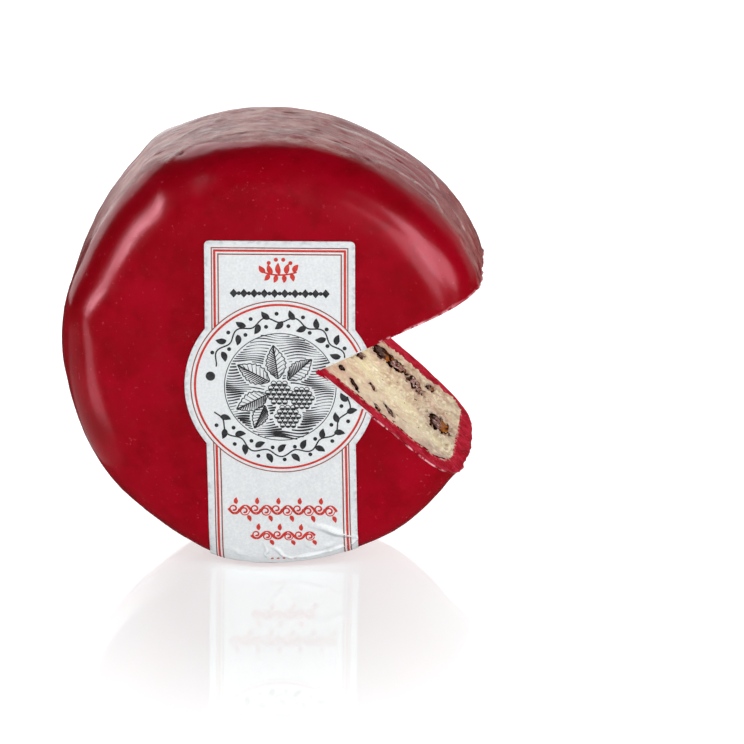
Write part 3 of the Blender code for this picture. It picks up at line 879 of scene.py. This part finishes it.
def specks(name, angle, rows, finish):
    """Crumbs of dried fruit in one side of the cheese, each a small lump: one mesh of rough eight-sided balls.

    A row gives the distance and depth of a crumb, its half length and half width, and its turn in degrees.
    """
    ball, _ = unit_ball(6, 8)
    run, _, normal = cut_axes(angle)
    along, depth, length, width, turn = (column[:, None, None, None] for column in np.array(rows, float).T)
    centre = cut_point(angle, along[..., 0], depth[..., 0]) - normal * 0.1 * length
    spin = np.radians(turn)
    a, b = ball[..., :1] * length, ball[..., 1:2] * width
    deep = np.array([0.0, 1.0, 0.0])
    points = centre + (a * np.cos(spin) - b * np.sin(spin)) * run + (a * np.sin(spin) + b * np.cos(spin)) * deep
    points = points + ball[..., 2:] * 0.3 * width * normal
    points = points + 0.12 * width * lattice(points, 0.4, 71)[..., None]
    count, tall, wide, _ = points.shape
    faces = (grid_faces(tall, wide, True)[None] + (np.arange(count) * tall * wide)[:, None, None]).reshape(-1, 4)
    centres = np.broadcast_to(centre, points.shape).reshape(-1, 3)
    flat = points.reshape(-1, 3)
    faces = facing(flat, faces, flat[faces].mean(1) - centres[faces[:, 0]])
    marks = {"flesh": np.full(len(flat), 0.2), "amber_and_glow": np.full(len(flat), 0.3)}
    return mesh_piece(name, finish, flat, faces, marks=marks)


# Crumbs of fruit in each side of the cut.
LOWER_SPECKS = (
    (19.8, 5.4, 0.9, 0.45, 50), (22.6, 24.5, 1.2, 0.45, 60), (33.9, 17.8, 0.5, 0.25, 80), (28.7, 7.6, 0.35, 0.2, 0),
    (6.6, 22.0, 0.45, 0.25, 30), (8.0, 26.3, 0.4, 0.2, 90), (30.5, 30.5, 0.45, 0.2, 40), (14.2, 20.8, 0.3, 0.18, 10),
    (25.4, 12.4, 0.3, 0.2, 50), (11.0, 18.2, 0.3, 0.16, 0), (20.6, 18.6, 0.26, 0.16, 70), (31.8, 12.6, 0.3, 0.16, 20),
    (3.6, 15.2, 0.3, 0.18, 45), (17.6, 25.6, 0.32, 0.18, 15), (27.0, 29.4, 0.36, 0.2, 70), (23.2, 6.0, 0.3, 0.18, 0),
    (21.8, 26.6, 0.5, 0.3, 60), (17.7, 30.6, 1.1, 0.6, 80), (18.6, 28.9, 0.5, 0.3, 20), (32.6, 8.8, 0.7, 0.3, 60),
)
UPPER_SPECKS = (
    (6.0, 20.0, 0.5, 0.3, 20), (13.0, 24.7, 0.4, 0.25, 60), (20.9, 20.0, 0.5, 0.25, 80), (28.7, 8.6, 0.35, 0.2, 0),
    (11.6, 32.0, 0.45, 0.25, 30), (22.0, 35.3, 0.4, 0.2, 90), (30.5, 21.5, 0.45, 0.2, 40), (25.0, 18.0, 0.3, 0.2, 0),
)


# The label


def label_point(across, down, lift):
    """A point of the label: across from its middle line and down it, running on over the front shoulder.

    Down to where the shoulder starts it is the height on the flat face. Past that it is the height where
    the shoulder starts less the length run along the shoulder's curve.
    """
    across, down = np.broadcast_arrays(np.asarray(across, float), np.asarray(down, float))
    x = LABEL_X + across + LABEL_LEAN * ease(-down, 5.0, 35.0)

    def level(z, inset):
        """Height at the drum's underside where the outline less an inset is met, from a first guess."""
        return -np.sqrt((outline(np.arctan2(z, x)) - inset) ** 2 - x**2)

    start = -np.sqrt((MEAN_RADIUS - FRONT_SHOULDER) ** 2 - x**2)
    for _ in range(5):
        start = level(start, shoulder_shape(np.degrees(np.arctan2(start, x)))[0])
    over = down <= start
    turns = np.linspace(0.0, math.pi / 2, 240)
    length = run_length(np.stack(shoulder(turns, FRONT_SHOULDER)[:2], -1))
    turn = np.interp(np.maximum(0.0, start - down), length, turns)
    inset, deep, out, back = shoulder(turn, FRONT_SHOULDER)
    z = np.where(over, start, down)
    for _ in range(6):
        z = np.where(over, level(z, inset), down)
    theta = np.arctan2(z, x)
    y = np.where(over, deep - THICKNESS / 2, -THICKNESS / 2 - dome(x, z, FRONT_SHOULDER))
    out, back = np.where(over, out, 0.0), np.where(over, back, 1.0)
    normal = np.stack([out * np.cos(theta), -back, out * np.sin(theta)], -1)
    bare = np.stack([x, y, z], -1)
    points = bare + normal * (lumps(bare) + lift + label_folds(across, down))[..., None]
    points[..., 2] = np.maximum(points[..., 2], FLOOR + PAPER_CLEARANCE)
    return points


# Creases in the paper where it turns under: both ends (across, down), width and height.
FOLDS = (
    ((5.6, -33.2), (15.6, -36.4), 0.60, 0.50), ((15.6, -36.4), (13.6, -39.2), 0.40, 0.45),
    ((-2.6, -38.6), (1.4, -42.6), 0.40, 0.50), ((1.4, -42.6), (9.8, -40.6), 0.45, 0.50),
    ((9.8, -40.6), (12.8, -38.6), 0.40, 0.45), ((-3.4, -38.0), (-3.1, -42.8), 0.35, 0.45),
    ((-12.0, -39.0), (-7.0, -41.8), 0.7, 0.25), ((3.6, -36.4), (6.6, -39.4), 0.8, 0.22),
    ((6.6, -39.4), (12.4, -37.6), 0.7, 0.25),
)


def label_folds(across, down):
    """Height of the creases and of the lower left corner, which has come away from the wax."""
    bent = across + 0.3 * np.sin(across * 1.3) + 0.2 * np.sin(down * 2.1)
    high = 0.25 * ease(-across, 8.0, STRIP_HALF) * ease(-down, 37.0, 43.0)
    for start, end, width, height in FOLDS:
        near, share = segment_distance(bent, down, np.array(start), np.array(end))
        high = high + height * bell(near, 0.0, width) * np.sin(math.pi * np.clip(share, 0.12, 0.88))
    return high


def label_sides(down):
    """Left and right edge of the label at each height: strip, medallion, rounded corners and the cut."""
    medallion = np.sqrt(np.maximum(0.0, MEDALLION**2 - (down - MEDALLION_Z) ** 2))
    rise = np.clip(down - (LABEL_TOP - LABEL_CORNER), 0.0, LABEL_CORNER)
    half = np.maximum(STRIP_HALF, medallion) - LABEL_CORNER + np.sqrt(np.maximum(0.0, LABEL_CORNER**2 - rise**2))
    side = np.where(down > APEX[1], math.tan(UPPER), math.tan(LOWER))
    return -half, np.minimum(half, APEX[0] + (down - APEX[1]) / side - LABEL_X)


def label_sheet(finish):
    """The label's paper, from its top edge down the face and over the front shoulder."""
    steps_down, steps_in_corner, steps_across = 330, 9, 160
    down = np.unique(np.concatenate([
        np.linspace(LABEL_TOP, LABEL_END, steps_down), LABEL_TOP - np.linspace(0, LABEL_CORNER, steps_in_corner),
        [APEX[1]],
    ]))[::-1]
    left, right = label_sides(down)
    share = np.linspace(0.0, 1.0, steps_across)[None, :]
    across = left[:, None] * (1 - share) + right[:, None] * share
    down = np.broadcast_to(down[:, None], across.shape)
    border = np.minimum(np.minimum(share, 1 - share) * (right - left)[:, None], LABEL_TOP - down)
    # Painted shade on the side of a crease that falls away downwards, and painted light on the other.
    step = 0.45
    slope = label_folds(across, down + step) - label_folds(across, down - step)
    marks = {
        "rubbed": 1.0 - ease(border, 0.25, 1.2), "painted_crease_shade": ease(slope, 0.06, 0.30), "ridge_and_painted_light": ease(-slope, 0.06, 0.30),
    }
    sheet = grid_piece("label_sheet", finish, label_point(across, down, PAPER_LIFT), [0.0, -1.0, 0.0],
                       uv=np.stack([across, down], -1), marks=marks)
    thick = sheet.modifiers.new("paper", "SOLIDIFY")
    thick.thickness = PAPER * MM
    thick.offset = -1.0
    return sheet


def stroke(path, width):
    """A printed stroke: a strip of a width, even or one value per point, along a path on the label."""
    path = np.asarray(path, float)
    way = np.gradient(path, axis=0)
    way /= np.maximum(1e-9, np.linalg.norm(way, axis=1, keepdims=True))
    side = np.stack([-way[:, 1], way[:, 0]], -1) * (0.5 * np.asarray(width) * np.ones(len(path)))[:, None]
    return np.stack([path + side, path - side], 1)


def straight(start, end, step=0.5):
    """Points along a straight line, a step apart."""
    count = max(2, int(math.dist(start, end) / step) + 1)
    return np.linspace(start, end, count)


def arc(centre, radius, start, end, count):
    """Points along an arc, with angles in degrees."""
    turn = np.radians(np.linspace(start, end, count))
    return np.stack([centre[0] + radius * np.cos(turn), centre[1] + radius * np.sin(turn)], -1)


def leaf(base, heading, length, width):
    """A printed leaf: a strip that swells as a sine along a slightly bent midline."""
    share = np.linspace(0.0, 1.0, 10)
    turn = math.radians(heading)
    bend = 0.10 * length * np.sin(math.pi * share)
    along = share * length
    path = np.stack([base[0] + along * math.cos(turn) - bend * math.sin(turn),
                     base[1] + along * math.sin(turn) + bend * math.cos(turn)], -1)
    return stroke(path, 0.04 + width * np.sin(math.pi * share**0.8) ** 0.9)


def disc(centre, radius, count=12):
    """A printed dot: a strip as wide as the dot is at each step across it."""
    turn = np.linspace(0.0, math.pi, count)
    path = np.stack([centre[0] - radius * np.cos(turn), centre[1] + 0 * turn], -1)
    side = np.stack([0 * turn, radius * np.sin(turn)], -1)
    return np.stack([path + side, path - side], 1)


def veined_leaf(base, heading, length, width):
    """An engraved leaf: its outline, midrib and slanting veins, close and thick on its shaded side."""
    turn = math.radians(heading)
    ahead = np.array([math.cos(turn), math.sin(turn)]) * length
    side = np.array([-math.sin(turn), math.cos(turn)]) * width
    share = np.linspace(0.0, 1.0, 24)[:, None]
    swell = 0.5 * np.sin(math.pi * share**0.85) * (1 + 0.10 * np.sin(share * 46.0))
    midrib = np.array(base, float) + ahead * share
    shapes = [stroke(midrib + side * swell, 0.24), stroke(midrib - side * swell, 0.24), stroke(midrib, 0.26)]
    for way, gap, thick in ((1.0, 0.060, 0.26), (-1.0, 0.115, 0.16)):
        for start in np.arange(0.06, 0.88, gap):
            stop = min(0.97, start + 0.14)
            outer = base + ahead * stop + side * way * 0.46 * math.sin(math.pi * stop**0.85)
            shapes.append(stroke(np.linspace(base + ahead * start, outer, 5), thick * np.array([1, 1, 1, 0.8, 0.4])))
    return shapes


def round_berry(centre, size):
    """An engraved berry: rows of round beads in a disc, each a ring with a dark lower side."""
    shapes = []
    bead = size / 4.7
    for row in range(-3, 4):
        for column in range(-4, 5):
            x = (column + 0.5 * (row % 2)) * bead * 2.0
            z = row * bead * 1.74
            if math.hypot(x, z * 0.92) < size - 0.6 * bead:
                middle = (centre[0] + x, centre[1] + z)
                shapes.append(stroke(arc(middle, bead * 0.92, 0, 360, 13), 0.17))
                shade = arc(middle, bead * 0.50, 175, 365, 9)
                shapes.append(stroke(shade, bead * 0.85 * np.sin(np.linspace(0.1, math.pi - 0.1, 9))))
    return shapes


def clear_of(spots, leaves, berries):
    """Whether each spot is outside every leaf and berry of the picture, with a little paper left round them."""
    free = np.ones(len(spots), bool)
    for base, heading, length, width in leaves:
        turn = math.radians(heading)
        away = spots - base
        share = (away[:, 0] * math.cos(turn) + away[:, 1] * math.sin(turn)) / length
        side = np.abs(away[:, 1] * math.cos(turn) - away[:, 0] * math.sin(turn))
        swell = 0.55 * width * np.sin(math.pi * np.clip(share, 0.0, 1.0) ** 0.85) + 0.35
        free &= (share < -0.04) | (share > 1.04) | (side > swell)
    for centre, size in berries:
        free &= np.hypot(*(spots - centre).T) > size + 0.35
    return free


def hatching(centre, radius, leaves, berries):
    """Engraved ground inside a circle: waving level lines that swell and thin, and stop short of the plants."""
    shapes = []
    gap, swing = 0.56, 0.5
    for level in np.arange(-radius + gap, radius, gap):
        half = math.sqrt(max(0.0, radius**2 - level**2)) - 0.15
        if half < 0.8:
            continue
        x = np.linspace(-half, half, max(8, int(half * 9)))
        z = level + swing * np.sin(x * 0.55 + level * 0.35) * np.cos(x * 0.21 - level * 0.5)
        tone = 0.5 + 0.5 * np.sin(x * 0.7 + 1.7 * np.sin(level * 0.5)) * np.cos(level * 0.6 + x * 0.3)
        line = np.stack([centre[0] + x, centre[1] + z], -1)
        width = 0.08 + 0.30 * tone * (1.15 - 0.35 * level / radius)
        free = clear_of(line, leaves, berries)
        for run in np.split(np.arange(len(line)), np.flatnonzero(np.diff(free)) + 1):
            if free[run[0]] and len(run) > 3:
                shapes.append(stroke(line[run], width[run]))
    return shapes


def rules_and_rings(red, brown):
    """Three rules along the label's edge, thin, thick and thin, and two rings round its medallion."""
    for offset, width, ink_list in ((1.46, 0.24, brown), (2.05, 0.48, red), (2.80, 0.27, brown)):
        side, high = STRIP_HALF - offset, LABEL_TOP - offset
        meet = math.sqrt(OUTER_RING**2 - side**2)
        ink_list.append(stroke(straight((-side - width / 2, high), (side + width / 2, high)), width))
        for x in (-side, side):
            ink_list.append(stroke(straight((x, high), (x, MEDALLION_Z + meet)), width))
            ink_list.append(stroke(straight((x, MEDALLION_Z - meet), (x, LABEL_END + 0.4)), width))
    brown.append(stroke(arc((0.0, MEDALLION_Z), OUTER_RING, 0, 360, 240), 0.24))
    red.append(stroke(arc((0.0, MEDALLION_Z), INNER_RING, 0, 360, 240), 0.45))


def garland(dark):
    """A garland round the medallion: a waving stem with a leaf at each wave and a berry across from it."""
    middle, first, last = (0.0, MEDALLION_Z), -158.0, 162.0
    wave = GARLAND + 0.60 * np.sin(np.radians(np.linspace(first, last, 400)) * 15.0)
    dark.append(stroke(arc(middle, wave, first, last, 400), 0.30))
    for number, turn in enumerate(np.arange(-152.0, 158.0, 10.0)):
        way = 1 if number % 2 else -1
        dark.append(leaf(arc(middle, GARLAND + 0.3 * way, turn, turn, 1)[0], turn + 90 - way * 50, 2.3, 1.25))
        dark.append(disc(arc(middle, GARLAND - 1.25 * way, turn + 4.4, turn + 4.4, 1)[0], 0.42, 9))
    dark.append(disc((-14.3, MEDALLION_Z + 2.2), 0.98, 20))


def bramble(dark):
    """The round picture inside the medallion: a bramble spray with leaves and berries over an engraved ground."""
    middle = (0.0, MEDALLION_Z)
    leaves = [((x, MEDALLION_Z + z), heading, length, width) for x, z, heading, length, width in (
        (-2.2, 1.2, 152, 7.4, 4.0), (-0.4, 1.8, 98, 7.2, 3.9), (-2.6, -1.6, 207, 7.2, 3.9), (1.6, 1.6, 42, 6.6, 3.6),
        (-3.2, -4.0, 246, 5.4, 3.0),
    )]
    berries = [((x, MEDALLION_Z + z), size) for x, z, size in ((-0.2, -1.2, 2.7), (4.4, -2.3, 2.5), (1.5, -6.3, 2.6))]
    dark.append(stroke(arc(middle, PICTURE, 0, 360, 160), 0.18))
    dark.extend(hatching(middle, PICTURE - 0.15, leaves, berries))
    for one in leaves:
        dark.extend(veined_leaf(*one))
    for one in berries:
        dark.extend(round_berry(*one))


def sprig_and_rule(red, dark):
    """At the label's head a red sprig, bowed, with leaves and berries, and under it a rule of lozenges and dots."""
    x = np.linspace(-3.5, 3.5, 24)
    red.append(stroke(np.stack([x, 20.3 + 0.05 * x * x], -1), 0.34))
    for x in (-2.9, -1.45, 0.0, 1.45, 2.9):
        red.append(leaf((x, 20.4 + 0.05 * x * x), 96 - 12 * x, 2.5 - 0.2 * abs(x), 1.1))
    for x in (-2.2, -0.75, 0.75, 2.2):
        red.append(leaf((x, 20.3 + 0.05 * x * x), 264 + 12 * x, 1.7, 0.95))
        red.append(disc((x, 23.6 - 0.16 * x * x), 0.42, 12))
    level = 16.4
    for number, x in enumerate(np.linspace(-9.4, 9.4, 19)):
        lozenge = stroke([(x - 0.8, level), (x, level), (x + 0.8, level)], [0.05, 1.9, 0.05])
        dark.append(disc((x, level), 0.42, 9) if number % 2 else lozenge)


def scrollwork(red):
    """At the label's foot a long running scroll and a short one, with curls and leaves, and beads at the edge."""
    wave = 4.4
    for level, half, high in ((-30.2, 11.2, 1.75), (-35.8, 6.6, 1.6)):
        x = np.linspace(-half, half, 180)
        run = level + high * 0.55 * np.sin(x * TAU / wave)
        red.append(stroke(np.stack([x, run], -1), 0.22 + 0.34 * np.abs(np.cos(x * TAU / wave))))
        for number, x_at in enumerate(np.arange(-half + 1.1, half - 0.3, wave / 2)):
            way = 1 if number % 2 == 0 else -1
            curl = np.linspace(0.0, 1.35 * TAU, 34)
            size = high * 0.60 * (1 - curl / (1.9 * TAU))
            path = np.stack([x_at + size * np.cos(curl * way), level + way * high * 0.14 - size * np.sin(curl)], -1)
            red.append(stroke(path, 0.20 + 0.24 * (curl / curl[-1])))
            red.append(leaf((x_at + 0.6, level + way * high * 0.70), 78 * way + 12, 1.5, 0.85))
    for x in np.arange(-2.4, 3.0, 1.2):
        red.append(disc((x, -42.6), 0.32, 8))


def print_piece(name, shapes, lift, finish):
    """One ink: every strip laid on the paper and joined in a mesh, with nothing past the label's edges."""
    points, faces, count = [], [], 0
    for shape in shapes:
        quads = grid_faces(shape.shape[0], 2)
        flat = shape.reshape(-1, 2)
        left, right = label_sides(flat[:, 1])
        fits = (flat[:, 0] > left + 0.1) & (flat[:, 0] < right - 0.12) & (flat[:, 1] > LABEL_END + 0.3)
        points.append(flat)
        faces.append(quads[fits[quads].all(1)] + count)
        count += len(flat)
    used, faces = np.unique(np.concatenate(faces), return_inverse=True)
    flat, faces = np.concatenate(points)[used], faces.reshape(-1, 4)
    corners = flat[faces]
    one, two = corners[:, 2] - corners[:, 0], corners[:, 3] - corners[:, 1]
    turned = one[:, 0] * two[:, 1] - one[:, 1] * two[:, 0] < 0.0
    faces[turned] = faces[turned][:, ::-1]
    return mesh_piece(name, finish, label_point(flat[:, 0], flat[:, 1], PAPER_LIFT + lift), faces)


# Build


wax, cut, paste, fruit, paper = cheese_wax(), cut_wax(), hard_cheese(), dried_fruit(), label_paper()
red_ink, dark_ink = ink("red_ink", "#B8241C", "#C93A2E"), ink("dark_ink", "#1E1E21", "#38383B")
brown_ink = ink("brown_ink", "#7E3A34", "#985248")


def keep(piece, slot, *nodes):
    """Ride on the one body and stand for the nodes named. The slot is not used."""
    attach(piece, "root")
    if nodes:
        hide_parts(*nodes)


shell, upper_edge, lower_edge = wax_shell(wax)
keep(shell, "red_wax", "wax_coat")
keep(wax_cut("wax_cut_upper", UPPER, upper_edge, cut), "red_wax")
keep(wax_cut("wax_cut_lower", LOWER, lower_edge, cut), "red_wax")
keep(wax_burr(cut), "red_wax")
keep(cheese_side("cheese_side_upper", UPPER, UPPER_FRUIT, 12, paste, 190, 200), "cream_paste")
keep(cheese_side("cheese_side_lower", LOWER, LOWER_FRUIT, 1, paste, 280, 300), "cream_paste", "cheese_paste")
every_fruit = [(LOWER, row) for row in LOWER_FRUIT] + [(UPPER, row) for row in UPPER_FRUIT]
for number, (angle, row) in enumerate(every_fruit, 1):
    keep(fruit_piece(f"fruit_{number:02d}", angle, row, number, fruit), "dried_fruit", f"berry_{number:02d}")
keep(specks("fruit_specks_lower", LOWER, LOWER_SPECKS, fruit), "dried_fruit")
keep(specks("fruit_specks_upper", UPPER, UPPER_SPECKS, fruit), "dried_fruit")
keep(label_sheet(paper), "label_paper", "label")
red_shapes, dark_shapes, brown_shapes = [], [], []
rules_and_rings(red_shapes, brown_shapes)
garland(dark_shapes)
bramble(dark_shapes)
sprig_and_rule(red_shapes, dark_shapes)
scrollwork(red_shapes)
# Each ink stands over the paper by its own few hundredths of a millimetre, so that no two share a surface.
keep(print_piece("label_print_dark", dark_shapes, 0.020, dark_ink), "label_paper")
keep(print_piece("label_print_red", red_shapes, 0.028, red_ink), "label_paper")
keep(print_piece("label_print_brown", brown_shapes, 0.024, brown_ink), "label_paper")


# Room, light and camera


def card(name, corners, finish):
    """A flat card of the room."""
    data = bpy.data.meshes.new(name)
    data.from_pydata(corners, [], [(0, 1, 2, 3)])
    data.materials.append(finish)
    thing = bpy.data.objects.new(name, data)
    bpy.context.scene.collection.objects.link(thing)
    return thing


def floor_and_backdrop():
    """A glossy white floor, less bright near the drum, and a bright backdrop that is dimmer to the right.

    The wax's gloss doesn't show the floor, so its face keeps its deep red.
    """
    white = linear("#FFFFFF")
    finish, tree, shader = new_finish("white_floor", 0.02, 0.34, "#FFE4E4")
    shader.inputs["Base Color"].default_value = linear("#BCC4C5")
    shader.inputs["Emission Color"].default_value = white
    spot = add(tree, "TexCoord", output="Object")
    ahead = add(tree, "Mapping", {"Vector": spot, "Location": (0.0, 0.021, 0.0), "Scale": (1.0, 0.6, 1.0)})
    away = add(tree, "VectorMath", {0: ahead}, "Value", operation="LENGTH")
    strength = add(tree, "MapRange", {
        "Value": away, "From Min": 0.018, "From Max": 0.06, "To Min": 0.58, "To Max": 0.85,
    })
    tree.links.new(strength, shader.inputs["Emission Strength"])
    floor = card("floor", [(-4, -3, 0), (4, -3, 0), (4, 4, 0), (-4, 4, 0)], finish)
    floor.visible_glossy = False
    finish, tree, shader = new_finish("backdrop_light", 1.0, 0.0)
    shader.inputs["Base Color"].default_value = linear("#000000")
    shader.inputs["Emission Color"].default_value = white
    across = add(tree, "SeparateXYZ", {0: add(tree, "TexCoord", output="Object")})
    strength = add(tree, "MapRange", {
        "Value": across, "From Min": -0.25, "From Max": 0.42, "To Min": 2.0, "To Max": 0.42,
    })
    tree.links.new(strength, shader.inputs["Emission Strength"])
    card("backdrop", [(-3, 1.4, 0), (3, 1.4, 0), (3, 1.4, 2.0), (-3, 1.4, 2.0)], finish)


def soft_box(name, seen, size, glow, where, turned):
    """An even rectangle of light that the camera doesn't see: it shows in gloss alone, or lights surfaces alone."""
    light = bpy.data.lights.new(name, "AREA")
    light.shape = "RECTANGLE"
    light.size, light.size_y = size
    light.energy = glow * math.pi * size[0] * size[1]
    thing = bpy.data.objects.new(name, light)
    thing.location = where
    thing.rotation_euler = turned
    thing.visible_diffuse = seen == "fill"
    thing.visible_glossy = seen == "gloss"
    thing.visible_camera = False
    bpy.context.scene.collection.objects.link(thing)


def lamp(name, seen, bearing, height, distance, size, glow, roll=0.0):
    """A soft box that faces the drum's middle, with its bearing right of the view, height and roll in degrees."""
    turn, rise = math.radians(bearing), math.radians(height)
    way = Vector((math.sin(turn) * math.cos(rise), -math.cos(turn) * math.cos(rise), math.sin(rise)))
    facing_in = (-way).to_track_quat("-Z", "Y").to_matrix() @ Matrix.Rotation(math.radians(roll), 3, "Z")
    middle = Vector((0.0, 0.0, -FLOOR * MM))
    soft_box(name, seen, size, glow, middle + way * distance, facing_in.to_euler())


def camera():
    """A long lens from slightly right of the drum's axis, looking 17 degrees down.

    It is moved until the medallion's middle falls on its own pixel of the square picture. There, a pixel is a step
    of 0.205 mm.
    """
    wide, pixel = 744.0, (280.4, 386.1)
    azimuth, height, distance, step = math.radians(1.9), math.radians(17.0), 976.0, 0.205
    back = np.array([math.sin(azimuth) * math.cos(height), -math.cos(azimuth) * math.cos(height), math.sin(height)])
    right = np.array([math.cos(azimuth), math.sin(azimuth), 0.0])
    up = np.cross(back, right)
    medallion = np.array([LABEL_X, -THICKNESS / 2, MEDALLION_Z])
    at = medallion + back * distance + step * (right * (wide / 2 - pixel[0]) + up * (pixel[1] - wide / 2))
    lens = bpy.data.cameras.new("camera")
    lens.sensor_width = 36.0
    lens.lens = lens.sensor_width * distance / (step * wide)
    lens.clip_start, lens.clip_end = 0.05, 20.0
    thing = bpy.data.objects.new("camera", lens)
    thing.location = place(at)
    thing.rotation_euler = Matrix((right, up, back)).transposed().to_euler()
    bpy.context.scene.collection.objects.link(thing)
    bpy.context.scene.camera = thing


floor_and_backdrop()
# Highlights: two sheets of light that lie on the floor at the left, then soft boxes at the left and the right.
for name, x, y, size, glow, turn in (
    ("floor_gloss_front", -0.190, -0.132, (0.28, 0.032), 3.1, 38.4),
    ("floor_gloss_side", -0.115, 0.000, (0.12, 0.09), 0.32, 0.0),
):
    soft_box(name, "gloss", size, glow, (x, y, 0.001), (math.pi, 0.0, math.radians(turn)))
lamp("left_gloss", "gloss", -51.0, 12.0, 1.3, (0.40, 1.00), 2.4, 15.0)
lamp("left_gloss_core", "gloss", -52.5, 14.0, 1.29, (0.11, 0.95), 11.0, 10.0)
lamp("left_gloss_tip", "gloss", -44.5, 16.5, 1.28, (0.13, 0.50), 20.0, 20.0)
lamp("right_gloss_inner", "gloss", 27.0, 7.0, 1.32, (0.42, 0.60), 4.8, -10.0)
lamp("right_gloss_middle", "gloss", 44.0, 20.0, 1.31, (0.34, 0.76), 8.4, -22.0)
lamp("right_gloss_outer", "gloss", 62.0, 14.0, 1.30, (0.46, 0.50), 6.0, -18.0)
# Even light on the surfaces. The last, from behind the right, reaches only the rim and the cut.
lamp("left_fill", "fill", -45.0, 12.0, 1.3, (0.7, 0.7), 3.5)
lamp("right_fill", "fill", 48.0, 18.0, 1.3, (0.8, 0.8), 4.9)
lamp("front_fill", "fill", 6.0, 4.0, 1.3, (0.5, 0.2), 6.0)
lamp("rim_fill", "fill", 120.0, 35.0, 1.3, (0.8, 0.8), 1.4)
camera()

world = bpy.data.worlds.new("studio")
world.use_nodes = True
world.node_tree.nodes["Background"].inputs[0].default_value = (1.0, 1.0, 1.0, 1.0)
world.node_tree.nodes["Background"].inputs[1].default_value = 0.03
bpy.context.scene.world = world
bpy.context.scene.view_settings.view_transform = "Standard"
